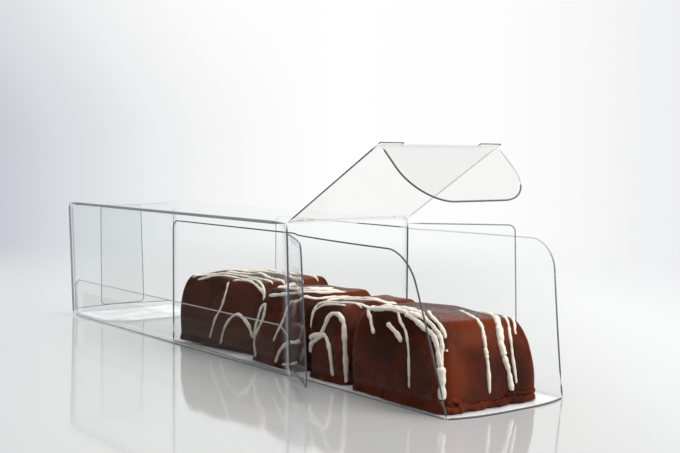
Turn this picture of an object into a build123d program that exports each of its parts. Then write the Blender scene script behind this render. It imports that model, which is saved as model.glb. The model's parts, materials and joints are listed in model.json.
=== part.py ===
"""Clear folding sleeve box with a sliding tray of dipped chocolates. All lengths are in millimetres.

X runs along the box to its open end, Y across it and Z up from the table. The origin is on the table,
under the middle of the sleeve. Every panel of the film is drawn on its middle surface and made half a film
thick both ways, and a round rod as thick as the film joins two panels along each crease, as bent film does.
"""

import os
from math import cos, radians, sin

from build123d import *

os.makedirs("parts", exist_ok=True)

# Film
film = 0.35  # thickness of the clear sheet
layer_gap = 0.12  # air between two layers that are folded over each other
seam_glue = 0.1  # thickness of the glue in the seam

# Sleeve
sleeve_length = 152.0
sleeve_width = 45.0
sleeve_height = 45.0
seam_flap_height = 14.5
seam_flap_inset = 1.6  # how far the seam flap ends before the sleeve does
seam_flap_chamfer = 2.4
glue_height = 8.0
glue_lift = 2.0  # bare strip below the glue
glue_inset = 9.0  # bare length at each end of the glue

# Dust flaps, two at each end
front_flap_length = 32.5
rear_flap_length = 31.5
dust_flap_relief = 2.5  # how much lower than the roof, and higher than the floor, a flap is cut
dust_flap_taper = 0.8  # how much more it is cut back at its free edge
dust_flap_radius = 3.0
near_flap_swing = 28.5  # degrees outward from straight ahead
far_flap_swing = 44.0

# Closing panels with their tucks
panel_side_gap = 0.2  # how much narrower than the sleeve a closing panel is, each side
rear_tuck_length = 31.0
lid_tuck_length = 21.2
tuck_radius = 12.0
tuck_side_gap = 0.75  # how much narrower than the closing panel a tuck is, each side
lock_width = 8.0  # length of the slit at each end of a tuck's crease
lock_height = 1.0  # how far the closing panel's shoulder stands past the crease
lock_slit = 0.35
shoulder_radius = 1.2
lock_radius = 0.4  # inner corners of the shoulders
tuck_slit_radius = 1.0  # corners of the tuck beside the slits
lid_angle = 30.2  # degrees above level
lid_crease_gap = 0.5  # roof cut back behind the lid's crease
lid_crease_start = 0.12  # lid cut back in front of the same crease
tuck_fold = 73.2  # degrees that the lid's tuck is folded down from the lid
tuck_crease_start = 0.3

# Tray
tray_length = 137.5
tray_side_clearance = 0.45  # between the tray and the seam flap
tray_wall_height = 41.4
tray_pull = 65.5  # how far the tray stands out of the sleeve
tray_slant = 9.0  # how far a side's front edge leans back at the top
tray_front_radius = 8.0
tray_rear_radius = 3.0
tray_lip = 3.0  # how far the floor's front edge bows forward
slide_gap = 0.1

# Chocolates
block_width = 32.4
front_block = 38.6
rear_block = 42.6
middle_block = 26.2
short_block = 18.0
tall_block = 23.8
low_block = 22.8
block_set_back = 2.2  # from the tray's front corners to the foot of the first piece
block_gap = 0.3  # between the feet of two pieces
row_shift = 3.1  # how far the first piece stands towards the near side
block_corner_radius = 5.5
block_taper = 1.6  # how much narrower each side is at the top
block_edge_radius = 5.0
crown_radius = 95.0
foot_spread = 0.7  # how far the coating ran out around the base
foot_height = 1.6
foot_round = 0.4
icing_depth = 0.55
icing_gap = 0.03  # between the icing and the chocolate under it
icing_width = 1.5
icing_start = 2.6  # height of the strokes' lower ends
end_stroke_reach = 8.0  # how far the strokes over the first piece's front end run back on its top


def plate(plane, outline, radii=None):
    """One flat panel: an outline on the panel's middle surface, half a film thick both ways."""
    border = FilletPolyline(*outline, radius=radii or [0] * len(outline), close=True)
    return extrude(plane * make_face(border), amount=film / 2, both=True)


def crease(start, end):
    """The rounded bend between two panels: a rod along the line where their middle surfaces meet."""
    along = Vector(end) - Vector(start)
    lowest = (Align.CENTER, Align.CENTER, Align.MIN)
    return Plane(origin=start, z_dir=along) * Cylinder(film / 2, along.length, align=lowest)


def merge(pieces):
    """One solid from panels and creases that meet."""
    first, *others = pieces
    return first.fuse(*others).clean()


# Middle surfaces, worked out from the sizes above
side_y = sleeve_width / 2 - film / 2
seam_y = -side_y + film + seam_glue
roof_z = sleeve_height - film / 2
floor_z = film / 2
layer = film + layer_gap
tuck_z = floor_z + layer
front_x = sleeve_length / 2
rear_x = -sleeve_length / 2 + film / 2
near_rear_flap_x = rear_x + layer
far_rear_flap_x = near_rear_flap_x + layer

panel_half = side_y - panel_side_gap
tuck_half = panel_half - tuck_side_gap
lock_half = panel_half - lock_width

tray_half = sleeve_width / 2 - 2 * film - seam_glue - tray_side_clearance - film / 2
tray_floor_z = tuck_z + film + slide_gap
tray_front_x = front_x + tray_pull
tray_rear_x = tray_front_x - tray_length
tray_top_z = tray_floor_z + tray_wall_height


def closing_plate(plane, start, length):
    """A closing panel from its hinge edge to the tuck's crease, with a shoulder past it at each corner."""
    shoulder = length + lock_height
    return plate(
        plane,
        [
            (start, -panel_half),
            (shoulder, -panel_half),
            (shoulder, -lock_half),
            (length, -lock_half),
            (length, lock_half),
            (shoulder, lock_half),
            (shoulder, panel_half),
            (start, panel_half),
        ],
        [0, shoulder_radius, lock_radius, 0, 0, lock_radius, shoulder_radius, 0],
    )


def tuck_plate(plane, start, length):
    """A tuck tongue, slit free of the closing panel at both ends of its crease, with round front corners."""
    slit = lock_height + lock_slit
    return plate(
        plane,
        [
            (start, -lock_half),
            (slit, -lock_half),
            (slit, -tuck_half),
            (length, -tuck_half),
            (length, tuck_half),
            (slit, tuck_half),
            (slit, lock_half),
            (start, lock_half),
        ],
        [0, 0, tuck_slit_radius, tuck_radius, tuck_radius, tuck_slit_radius, 0, 0],
    )


def dust_flap(plane, length):
    """A dust flap that starts on its crease at the plane's origin and narrows a little to its round end."""
    low = dust_flap_relief
    high = sleeve_height - dust_flap_relief
    tip = dust_flap_taper
    outline = [(0, low), (length, low + tip), (length, high - tip), (0, high)]
    return plate(plane, outline, [0, dust_flap_radius, dust_flap_radius, 0])


def flap_crease(x, y):
    """The upright crease of a dust flap."""
    return crease((x, y, dust_flap_relief), (x, y, sleeve_height - dust_flap_relief))


def upright(x, y, heading):
    """An upright plane whose first axis points along a heading in degrees and whose second axis is up."""
    direction = (cos(radians(heading)), sin(radians(heading)), 0)
    return Plane(origin=(x, y, 0), x_dir=direction, z_dir=(direction[1], -direction[0], 0))


def make_sleeve():
    """Four walls, the seam flap, the rear closure and the four dust flaps, folded from one sheet."""
    flap_start = -sleeve_length / 2 + seam_flap_inset
    flap_end = sleeve_length / 2 - seam_flap_inset
    bevel = seam_flap_chamfer
    roof_end = front_x - lid_crease_gap
    side = Plane.XZ
    pieces = [
        plate(
            Plane.XY.offset(roof_z),
            [(rear_x, -side_y), (roof_end, -side_y), (roof_end, side_y), (rear_x, side_y)],
        ),
        plate(
            side.offset(side_y),
            [(near_rear_flap_x, film), (front_x, film), (front_x, roof_z), (near_rear_flap_x, roof_z)],
        ),
        plate(
            side.offset(-side_y),
            [(far_rear_flap_x, floor_z), (front_x, floor_z), (front_x, roof_z), (far_rear_flap_x, roof_z)],
        ),
        plate(
            Plane.XY.offset(floor_z),
            [(rear_x, seam_y), (front_x, seam_y), (front_x, side_y), (rear_x, side_y)],
        ),
        plate(
            side.offset(-seam_y),
            [
                (flap_start, floor_z),
                (flap_end, floor_z),
                (flap_end, seam_flap_height - bevel),
                (flap_end - bevel, seam_flap_height),
                (flap_start + bevel, seam_flap_height),
                (flap_start, seam_flap_height - bevel),
            ],
        ),
        crease((near_rear_flap_x, -side_y, roof_z), (roof_end, -side_y, roof_z)),
        crease((far_rear_flap_x, side_y, roof_z), (roof_end, side_y, roof_z)),
        crease((rear_x, side_y, floor_z), (front_x, side_y, floor_z)),
        crease((flap_start, seam_y, floor_z), (flap_end, seam_y, floor_z)),
    ]
    # Rear closure: the panel hangs from the roof and its tuck lies on the floor, with the dust flaps inside
    closing_length = roof_z - tuck_z
    down = Plane(origin=(rear_x, 0, roof_z), x_dir=(0, 0, -1), z_dir=(-1, 0, 0))
    tuck_level = Plane(origin=(rear_x, 0, tuck_z), x_dir=(1, 0, 0), z_dir=(0, 0, 1))
    pieces += [
        plate(
            down,
            [(0, -panel_half), (closing_length, -panel_half), (closing_length, panel_half), (0, panel_half)],
        ),
        crease((rear_x, -panel_half, roof_z), (rear_x, panel_half, roof_z)),
        tuck_plate(tuck_level, 0, rear_tuck_length),
        crease((rear_x, -lock_half, tuck_z), (rear_x, lock_half, tuck_z)),
        dust_flap(upright(near_rear_flap_x, -side_y, 90), rear_flap_length),
        flap_crease(near_rear_flap_x, -side_y),
        dust_flap(upright(far_rear_flap_x, side_y, -90), rear_flap_length),
        flap_crease(far_rear_flap_x, side_y),
    ]
    # Front dust flaps, swung outward
    pieces += [
        dust_flap(upright(front_x, -side_y, -near_flap_swing), front_flap_length),
        flap_crease(front_x, -side_y),
        dust_flap(upright(front_x, side_y, far_flap_swing), front_flap_length),
        flap_crease(front_x, side_y),
    ]
    return merge(pieces)


def make_seam_glue():
    """The strip of glue between the near side and the seam flap, with one cut corner as the bead runs out."""
    half = sleeve_length / 2 - glue_inset
    top = glue_lift + glue_height
    outline = [
        (-half, glue_lift),
        (half, glue_lift),
        (half, top - 2 * seam_glue),
        (half - glue_lift, top),
        (-half, top),
    ]
    border = Polyline(*outline, close=True)
    return extrude(Plane.XZ.offset(side_y - film / 2) * make_face(border), amount=-seam_glue)


def lid_frame():
    """The lid's plane: its origin on the crease at the roof's front edge and its first axis up the lid."""
    tilt = radians(lid_angle)
    crease_middle = (front_x, 0, sleeve_height)
    return Plane(origin=crease_middle, x_dir=(cos(tilt), 0, sin(tilt)), z_dir=(-sin(tilt), 0, cos(tilt)))


def tongue_frame():
    """The tuck tongue's plane, from the crease at the lid's free edge with its first axis along the tongue."""
    tilt = radians(lid_angle - tuck_fold)
    corner = lid_frame().from_local_coords((lid_length, 0, 0))
    return Plane(origin=corner, x_dir=(cos(tilt), 0, sin(tilt)), z_dir=(-sin(tilt), 0, cos(tilt)))


def make_tray():
    """Floor and two sides of one folded sheet. The sides slant back in front, and the floor bows forward."""
    across = tray_half
    floor_border = [
        Line((tray_front_x, -across), (tray_rear_x, -across)),
        Line((tray_rear_x, -across), (tray_rear_x, across)),
        Line((tray_rear_x, across), (tray_front_x, across)),
        ThreePointArc((tray_front_x, across), (tray_front_x + tray_lip, 0), (tray_front_x, -across)),
    ]
    floor_face = Plane.XY.offset(tray_floor_z) * make_face(floor_border)
    wall = [
        (tray_rear_x, tray_floor_z),
        (tray_front_x, tray_floor_z),
        (tray_front_x - tray_slant, tray_top_z),
        (tray_rear_x, tray_top_z),
    ]
    rounding = [0, 0, tray_front_radius, tray_rear_radius]
    pieces = [extrude(floor_face, amount=film / 2, both=True)]
    for y in (-across, across):
        pieces.append(plate(Plane.XZ.offset(-y), wall, rounding))
        pieces.append(crease((tray_rear_x, y, tray_floor_z), (tray_front_x, y, tray_floor_z)))
    return merge(pieces)


def dipped_block(length, width, height, lean, coat=0.0):
    """A chocolate on its base at Z 0: rounded sides narrow and lean to a crowned top, grown by a coat."""
    corner = block_corner_radius + coat
    base = RectangleRounded(length + 2 * coat, width + 2 * coat, corner)
    top_length = length - 2 * block_taper + 2 * coat
    top_width = width - 2 * block_taper + 2 * coat
    tip = height + coat
    top = Pos(lean, 0, tip) * RectangleRounded(top_length, top_width, corner)
    sides = loft([base.face(), top.face()], ruled=True)
    crown = Pos(lean, 0, tip - crown_radius) * Rot(0, 90, 0) * Sphere(crown_radius)
    body = sides & crown
    rim = body.faces().filter_by(GeomType.SPHERE).edges()
    return fillet(rim, block_edge_radius + coat)


def chocolate(length, width, height, lean):
    """A dipped block with the low foot where the coating ran out around its base."""
    foot_corner = block_corner_radius + foot_spread
    foot = extrude(
        RectangleRounded(length + 2 * foot_spread, width + 2 * foot_spread, foot_corner),
        foot_height,
    )
    foot = fillet(foot.faces().sort_by(Axis.Z)[-1].edges(), foot_round)
    return dipped_block(length, width, height, lean) + foot


def icing(length, width, height, lean, strokes, end_strokes):
    """Icing strokes: thin slices of a coat as deep as the icing. Most run from one side over the top to the
    other, and the end strokes fall over the front end."""
    inner = dipped_block(length, width, height, lean, icing_gap)
    coat = dipped_block(length, width, height, lean, icing_gap + icing_depth) - inner
    tall = 2 * height
    strips = []
    for share, skew in strokes:
        place = Pos(share * length, 0, icing_start + tall / 2)
        slab = place * Rot(0, 0, skew) * Box(icing_width, 4 * width, tall)
        strips += (coat & slab).solids()
    for share, skew in end_strokes:
        place = Pos(length / 2, share * width, icing_start + tall / 2)
        strips += (coat & place * Rot(0, 0, skew) * Box(2 * end_stroke_reach, icing_width, tall)).solids()
    return Compound(children=strips)


# Each chocolate from the tray's mouth inward: length, height, turn in degrees, share of the row's shift, lean
# of its top in degrees, then its icing strokes over the sides and over the front end, each a share of the
# length or width with a skew in degrees
front_strokes = [(-0.33, 14), (-0.12, 10), (0.1, 16)]
front_end_strokes = [(0.0, 6), (0.16, -4), (0.28, 3)]
chocolates = [
    (front_block, tall_block, -1.5, 1.0, -3.0, front_strokes, front_end_strokes),
    (short_block, low_block, 0.0, 0.6, -1.0, [(-0.25, 12), (0.2, 18)], []),
    (middle_block, low_block, 0.0, 0.6, 2.0, [(-0.3, 16), (0.0, 10), (0.3, 20)], []),
    (rear_block, tall_block, 3.0, 0.2, 1.5, [(-0.3, 12), (-0.15, 18), (0.03, 12)], []),
]

lid_length = sleeve_height - floor_z

nodes = {
    "sleeve": make_sleeve(),
    "seam_glue": make_seam_glue(),
    "lid_panel": closing_plate(lid_frame(), lid_crease_start, lid_length),
    "tuck_tongue": tuck_plate(tongue_frame(), tuck_crease_start, lid_tuck_length),
    "tray": make_tray(),
}
foot_end = tray_front_x - block_set_back
for number, (length, height, turn, shift, tilt, strokes, end_strokes) in enumerate(chocolates, start=1):
    swing = radians(turn)
    reach = (length + 2 * foot_spread) * cos(swing) + (block_width + 2 * foot_spread) * abs(sin(swing))
    seat = Pos(foot_end - reach / 2, -shift * row_shift, tray_floor_z + film / 2) * Rot(0, 0, turn)
    lean = height * sin(radians(tilt))
    nodes[f"chocolate_{number}"] = seat * chocolate(length, block_width, height, lean)
    nodes[f"icing_{number}"] = seat * icing(length, block_width, height, lean, strokes, end_strokes)
    foot_end -= reach + block_gap

for name, shape in nodes.items():
    export_step(shape, f"parts/{name}.step")
    print(name, len(shape.solids()), round(shape.volume, 1))
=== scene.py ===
# %% [markdown]
# # A clear slide box with dipped chocolates
# The box is folded from clear film: a long sleeve, a lid with a tuck tongue at its open end, and a tray
# that slides out with four chocolates in it. The pieces that fit and move come from the CAD frame, and this
# file dresses them. Clear film shows mostly by its edges and creases, and chocolate by its soft gloss, so
# most of the work is in thin rims and in gentle, uneven forms.

# %% Load the frame
import json
import math

import bmesh
import bpy
import numpy as np
from mathutils import Matrix, Vector


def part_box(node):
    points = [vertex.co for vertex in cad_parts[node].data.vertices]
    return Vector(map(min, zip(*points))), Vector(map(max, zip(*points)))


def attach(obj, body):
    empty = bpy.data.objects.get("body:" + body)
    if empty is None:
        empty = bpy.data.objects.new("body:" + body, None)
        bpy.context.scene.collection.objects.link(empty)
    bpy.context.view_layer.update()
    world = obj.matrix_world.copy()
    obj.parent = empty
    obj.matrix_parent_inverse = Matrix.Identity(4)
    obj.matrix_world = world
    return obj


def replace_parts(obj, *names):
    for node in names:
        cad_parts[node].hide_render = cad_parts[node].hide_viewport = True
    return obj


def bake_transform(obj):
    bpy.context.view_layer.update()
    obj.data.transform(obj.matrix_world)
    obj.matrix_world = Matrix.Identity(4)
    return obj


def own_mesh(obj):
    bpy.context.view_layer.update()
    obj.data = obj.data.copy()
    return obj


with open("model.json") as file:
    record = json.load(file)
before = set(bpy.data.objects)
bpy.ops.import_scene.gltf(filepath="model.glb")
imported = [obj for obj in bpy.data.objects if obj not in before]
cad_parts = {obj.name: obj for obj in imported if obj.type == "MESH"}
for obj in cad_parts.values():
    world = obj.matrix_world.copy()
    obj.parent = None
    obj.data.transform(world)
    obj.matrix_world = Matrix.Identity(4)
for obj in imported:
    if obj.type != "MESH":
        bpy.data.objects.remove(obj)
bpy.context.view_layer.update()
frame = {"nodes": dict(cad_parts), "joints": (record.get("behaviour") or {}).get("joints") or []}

MM = 0.001
joints = {joint["name"]: joint for joint in frame["joints"]}
scene = bpy.context.scene
print("joints:", sorted(joints))

# %% [markdown]
# ## Sizes read from the frame
# Every new piece has to sit where the CAD has it: the lid's hinge gives the sleeve's mouth and height, the
# glue strip its near side, and the tray's own box the rest. Lengths are in millimetres, and a mesh is
# scaled to metres once, when it is made.

# %% Sizes in millimetres
film = 0.35
lid_root = np.array(joints["lid_hinge"]["pos_m"]) / MM
mouth_x, _, roof_top = lid_root
rear_end = np.array(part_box("sleeve")[0])[0] / MM
side_y = -np.array(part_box("seam_glue")[0])[1] / MM + film / 2
tray_low, tray_high = (np.array(corner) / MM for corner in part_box("tray"))
tray_side = tray_high[1] - film / 2
tray_floor = tray_low[2] + film / 2
x_axis, y_axis, z_axis = (1, 0, 0), (0, 1, 0), (0, 0, 1)
tongue_root = np.array(joints["tuck_fold"]["pos_m"]) / MM
lid_length = np.linalg.norm(tongue_root - lid_root)
lid_up = (tongue_root - lid_root) / lid_length
tongue_turn = math.radians(43)
tongue_down = np.array([math.cos(tongue_turn), 0, -math.sin(tongue_turn)])
print("lid", round(lid_length, 2), "long, up along", lid_up.round(3))
print("mouth", round(mouth_x, 2), "side", round(side_y, 3), "tray", tray_low.round(2), tray_high.round(2))

# %% [markdown]
# ## Grids of points
# Every new surface is a grid of points worked out with numpy, and neighbouring points make its faces. A
# grid may be open, or closed one way, like a tube. A tube gets a face over each end, and an end that has
# shrunk to a point becomes a true pole.

# %% From grids to meshes
def grid_faces(rows, columns, start, wrap):
    """Faces of a grid: point (i, j) has the number start + i * columns + j. With wrap, the columns close."""
    i, j = np.indices((rows - 1, columns if wrap else columns - 1))
    this, following = start + i * columns, start + (i + 1) * columns
    ahead = (j + 1) % columns
    quads = np.stack([this + j, this + ahead, following + ahead, following + j], -1)
    faces = quads.reshape(-1, 4).tolist()
    if wrap:
        last = start + (rows - 1) * columns
        faces += [list(range(start, start + columns))[::-1], list(range(last, last + columns))]
    return faces


def unit(vectors):
    """Vectors scaled to a length of 1."""
    return vectors / np.maximum(np.linalg.norm(vectors, axis=-1, keepdims=True), 1e-9)


def weld_poles(mesh):
    """Join points that share a place: quads at a pole become triangles, and the pole's cap goes."""
    shell = bmesh.new()
    shell.from_mesh(mesh)
    bmesh.ops.remove_doubles(shell, verts=shell.verts, dist=1e-8)
    shell.to_mesh(mesh)
    shell.free()


def new_piece(name, grids, material, wrap=False):
    """One mesh object from (rows, columns, 3) grids in millimetres, wound so that its faces look out."""
    faces, start = [], 0
    for grid in grids:
        rows, columns, _ = grid.shape
        faces += grid_faces(rows, columns, start, wrap)
        start += rows * columns
    points = np.concatenate([grid.reshape(-1, 3) for grid in grids]) * MM
    mesh = bpy.data.meshes.new(name)
    mesh.from_pydata(points, [], faces)
    mesh.polygons.foreach_set("use_smooth", np.full(len(faces), True))
    mesh.materials.append(material)
    if wrap:
        weld_poles(mesh)
    mesh.update()
    piece = bpy.data.objects.new(name, mesh)
    scene.collection.objects.link(piece)
    print(name, len(mesh.vertices), "points", len(mesh.polygons), "faces")
    return piece


# %% [markdown]
# ## Shader maths as plain Python
# A material here is an expression. `Socket` wraps a socket so that `+`, `-`, `*` and `**` add the Math
# nodes, and `Paint` adds any other node from its type, its sockets and its settings.

# %% A small language for materials
class Socket:
    """What a shader node gives out. Arithmetic on it adds Math nodes."""

    def __init__(self, paint, socket):
        self.paint, self.socket = paint, socket

    def maths(self, operation, first, second):
        return self.paint.add("Math", {0: first, 1: second}, operation=operation)

    def __add__(self, other):
        return self.maths("ADD", self, other)

    def __sub__(self, other):
        return self.maths("SUBTRACT", self, other)

    def __rsub__(self, other):
        return self.maths("SUBTRACT", other, self)

    def __mul__(self, other):
        return self.maths("MULTIPLY", self, other)

    def __pow__(self, other):
        return self.maths("POWER", self, other)

    __radd__, __rmul__ = __add__, __mul__


class Paint:
    """The nodes of a material or a world. add() gives a new one's output, show() sends a shader out."""

    def __init__(self, owner):
        owner.use_nodes = True
        self.owner, self.tree = owner, owner.node_tree
        self.tree.nodes.clear()

    def node(self, kind, sockets=None, **settings):
        """A node with values or links for its sockets, and its settings."""
        node = self.tree.nodes.new("ShaderNode" + kind)
        for name, value in settings.items():
            setattr(node, name, value)
        for name, value in (sockets or {}).items():
            if isinstance(value, Socket):
                self.tree.links.new(value.socket, node.inputs[name])
            else:
                node.inputs[name].default_value = value
        return node

    def add(self, kind, sockets=None, output=0, **settings):
        """Add a node and take one of its outputs."""
        return Socket(self, self.node(kind, sockets, **settings).outputs[output])

    def show(self, shader, kind="OutputMaterial"):
        self.node(kind, {"Surface": shader})
        return self.owner

    def mix(self, factor, first, second):
        """From the first shader to the second."""
        return self.add("MixShader", {0: factor, 1: first, 2: second})

    def show_film(self, cover, shader, clear):
        """Send out clear sheet with a shader that covers a share of it."""
        through = self.add("BsdfTransparent", {"Color": (*clear, 1)})
        return self.show(self.mix(cover, through, shader))

    def smooth(self, value, low, high):
        """From 0 to 1 along an S curve, as the value goes from low to high."""
        sockets = {"Value": value, "From Min": low, "From Max": high}
        return self.add("MapRange", sockets, interpolation_type="SMOOTHSTEP")

    def vector(self, operation, sockets, output="Vector"):
        return self.add("VectorMath", sockets, output, operation=operation)

    def dot(self, place, direction):
        return self.vector("DOT_PRODUCT", {0: place, 1: direction}, "Value")

    def place(self):
        return self.add("TexCoord", output="Object")

    def along(self, direction):
        """How far a point lies along a direction, in metres."""
        return self.dot(self.place(), direction)

    def facing(self):
        """0 where the surface is seen square on, 1 where it is seen edgewise."""
        return self.add("LayerWeight", {"Blend": 0.5}, "Facing")

    def noise(self, scale, detail=2.0, rough=0.5):
        sockets = {"Vector": self.place(), "Scale": scale, "Detail": detail, "Roughness": rough}
        return self.add("TexNoise", sockets)

    def blend_colours(self, factor, first, second):
        """From the first colour to the second. Each is three numbers or a socket."""
        first, second = (side if isinstance(side, Socket) else (*side, 1) for side in (first, second))
        return self.add("Mix", {0: factor, 6: first, 7: second}, 2, data_type="RGBA")

    def bump(self, height, strength, distance):
        return self.add("Bump", {"Height": height, "Strength": strength, "Distance": distance})


# %% [markdown]
# ## The clear film
# Clear film is almost nothing seen square on, and a mirror seen edgewise. So the face mixes a clear shader
# with a mirror, by a small base plus a share that grows with a high power of how edgewise it is seen. A
# faint ripple keeps the reflections from being perfect.

# %% Film face
def film_face(name, clear, base):
    """Clear sheet: what each surface lets through, and a mirror of share base + 0.6 * facing ** 8."""
    paint = Paint(bpy.data.materials.new(name))
    gloss = base + 0.6 * paint.facing() ** 8.0
    ripple = paint.bump(paint.noise(45.0, 1.0), 0.05, 0.0005)
    silver = {"Base Color": (0.93, 0.95, 0.96, 1), "Metallic": 1.0, "Roughness": 0.05, "Normal": ripple}
    mirror = paint.add("BsdfPrincipled", silver)
    return paint.show_film(gloss, mirror, clear)


film_clear = film_face("clear film face", (0.990, 0.993, 0.992), 0.0015)
film_rear = film_face("clear rear flap face", (0.965, 0.973, 0.970), 0.006)
film_lid = film_face("clear lid face", (0.978, 0.979, 0.975), 0.010)


def film_painted_sheen(name, colour, most):
    """Film with a painted white sheen in soft patches, standing for reflections on clear film, stronger where
    it is seen edgewise.
    """
    paint = Paint(bpy.data.materials.new(name))
    patch = paint.smooth(paint.noise(60.0, 3.0, 0.6), 0.35, 0.65)
    sheen_share = most * (0.55 + 0.45 * patch) * (0.2 + 0.8 * paint.facing() ** 3.0)
    sheen_shader = paint.add("BsdfPrincipled", {"Base Color": (*colour, 1), "Roughness": 0.25})
    return paint.show_film(sheen_share, sheen_shader, (0.97, 0.975, 0.975))


# Painted reflections: the white sheen on the tuck stands for a lamp's reflection in the film, and the tray
# floor's pinkish sheen for the chocolate and room reflected in it.
film_rear_tuck = film_painted_sheen("tuck face with painted sheen", (0.96, 0.97, 0.97), 0.85)
film_tray_floor = film_painted_sheen("tray floor with painted sheen", (0.97, 0.92, 0.92), 0.9)
faces = (film_clear, film_rear, film_lid, film_rear_tuck, film_tray_floor)
print("film faces", [face.name for face in faces])

# %% [markdown]
# A cut edge or a crease gathers the light that runs inside the sheet and sends it elsewhere, so it reads as
# a thin dark line against a pale room, and as a pale one against the chocolate. Smoky plastic that lets a
# little through gives that, and the share that it covers changes along the box.

# %% Film edge and crease
def film_line(name, colour, first_cover, last_cover, first=rear_end, last=mouth_x):
    """Edge of the sheet: smoky plastic whose cover changes along X between two places."""
    paint = Paint(bpy.data.materials.new(name))
    patch = paint.noise(160.0)
    shade = paint.blend_colours(patch, colour, tuple(1.6 * c for c in colour))
    smoky = {"Base Color": shade, "Roughness": 0.2, "Specular IOR Level": 0.3}
    line = paint.add("BsdfPrincipled", smoky)
    share = paint.smooth(paint.along(x_axis), first * MM, last * MM)
    cover = first_cover + (last_cover - first_cover) * share + 0.2 * (patch - 0.5)
    return paint.show_film(cover, line, (0.86, 0.87, 0.88))


edge_dark = film_line("dark film edge", (0.085, 0.088, 0.092), 0.5, 0.9)
edge_roof = film_line("roof crease", (0.26, 0.265, 0.27), 0.7, 0.75)
edge_grey = film_line("grey film edge", (0.22, 0.225, 0.23), 0.5, 0.6)
edge_pale = film_line("pale film edge", (0.50, 0.51, 0.51), 0.4, 0.5)
edge_floor = film_line("floor crease", (0.24, 0.245, 0.25), 0.12, 0.8)
edge_tray = film_line("far tray edge", (0.10, 0.105, 0.11), 0.06, 0.85, 128, 141)

# %% [markdown]
# ## Chocolate and icing
# The coating is dark, warm and satin. Its colour drifts a little where it is thinner, fine bloom breaks its
# gloss, and its surface has small dimples. The icing is an opaque cream with a duller skin.

# %% Chocolate
def chocolate_coating():
    """Two browns blended by a soft noise, under a satin gloss that varies and a fine dimpled bump. The pieces
    at the rear are painted darker and duller, as painted shade for the lesser light there. Half of the coat
    is a dull shader, which keeps the tops from turning grey."""
    paint = Paint(bpy.data.materials.new("dark chocolate coating"))
    drift = paint.smooth(paint.noise(48.0, 3.0, 0.55), 0.35, 0.65)
    grain = paint.noise(420.0, 3.0, 0.6)
    # Painted shade: this mask paints the rear pieces darker and duller, standing in for the lesser light at
    # the back of the box.
    front = paint.smooth(paint.along(x_axis), 0.01, 0.10)
    deep = paint.blend_colours(front, (0.024, 0.0075, 0.0040), (0.030, 0.0056, 0.0024))
    warm = paint.blend_colours(front, (0.074, 0.0185, 0.0080), (0.112, 0.0200, 0.0054))
    colour = paint.blend_colours(drift, deep, warm)
    relief = paint.bump(0.75 * drift + 0.25 * grain, 0.5, 0.0008)
    gloss = 0.17 + 0.13 * drift + 0.06 * grain
    coat = {"Base Color": colour, "Roughness": gloss, "Normal": relief}
    satin = paint.add("BsdfPrincipled", {**coat, "Specular IOR Level": 0.26})
    dull = paint.add("BsdfPrincipled", {**coat, "Specular IOR Level": 0.0})
    return paint.show(paint.mix(0.5, satin, dull))


def icing_cream():
    """Cream in two shades, with a soft skin."""
    paint = Paint(bpy.data.materials.new("cream icing"))
    drift = paint.noise(260.0)
    colour = paint.blend_colours(drift, (0.64, 0.58, 0.47), (0.80, 0.75, 0.66))
    relief = paint.bump(drift, 0.25, 0.0003)
    skin = {"Base Color": colour, "Roughness": 0.38 + 0.15 * drift, "Normal": relief}
    return paint.show(paint.add("BsdfPrincipled", skin))


chocolate_paint = chocolate_coating()
icing_paint = icing_cream()
print("sweets", chocolate_paint.name, "and", icing_paint.name)

# %% [markdown]
# ## The chocolates
# A dipped bar is a block with every upper edge rounded off by the coating. That shape is the sum of a
# smaller box and an egg: a point near it is drawn to the nearest point of the inner box, and pushed out
# again to the egg's surface. The same rule puts the icing exactly on the surface. One warp then gives both
# the bulge, the narrowing and lean to the top, the crown, the dimples and the foot where the coating ran
# out.
#
# Film is thin, so the loaded tray sags: inside the sleeve it rests on the sleeve's floor, and past the
# mouth on the table. `sag` gives that drop, and everything on the tray sinks by it.

# %% The form of a dipped block
def sag(x):
    """How far the tray's floor hangs: 0.57 mm in the sleeve and 0.92 mm past the mouth."""
    past = np.clip((x - mouth_x) / 3, 0, 1)
    return 0.57 + 0.35 * past ** 2 * (3 - 2 * past)


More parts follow.
